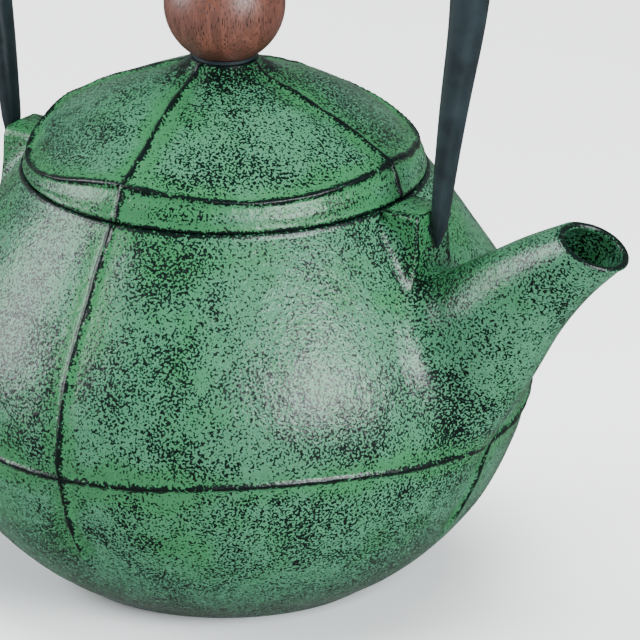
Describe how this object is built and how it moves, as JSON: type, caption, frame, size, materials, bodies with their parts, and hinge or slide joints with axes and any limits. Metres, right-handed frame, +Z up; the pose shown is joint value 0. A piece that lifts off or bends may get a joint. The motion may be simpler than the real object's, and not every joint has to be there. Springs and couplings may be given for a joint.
{
  "type": "cast iron teapot",
  "caption": "Enamelled cast iron teapot with a conical spout, a swinging bail handle, a lift-off lid with a turned wooden ball, and a strainer basket.",
  "frame": {"origin": "centre of the flat foot, on the plane the pot stands on", "axes": "+Z up through the knob, +X along the spout, the bail lies in the XZ plane"},
  "size_m": [0.2088, 0.1624, 0.2621],
  "materials": {
    "enamel_green": "green enamel with fine black speckle over cast iron, satin",
    "turned_wood": "reddish brown turned wood, satin lacquer",
    "black_iron": "black satin coating over iron",
    "brass": "plain brass",
    "steel": "bright stainless steel",
    "steel_mesh": "fine stainless steel mesh"
  },
  "bodies": {
    "pot": {"pot_body": "enamel_green", "spout": "enamel_green"},
    "basket": {"basket_rim": "steel", "basket_wall": "steel_mesh", "basket_base": "steel", "basket_floor": "steel_mesh"},
    "lid": {"lid": "enamel_green", "knob_ball": "turned_wood", "knob_washer": "black_iron", "knob_insert": "brass", "knob_screw": "steel", "screw_washer": "steel"},
    "bail": {"bail": "black_iron"}
  },
  "joints": [
    {"name": "bail_swing", "type": "hinge", "parent": "pot", "child": "bail", "pos_m": [0, 0, 0.1074], "axis": [1, 0, 0], "range_deg": [-133, 133]},
    {"name": "basket_lift", "type": "slide", "parent": "pot", "child": "basket", "axis": [0, 0, 1], "range_m": [0, 0.058]},
    {"name": "lid_lift", "type": "slide", "parent": "basket", "child": "lid", "axis": [0, 0, 1], "range_m": [0, 0.014]}
  ]
}
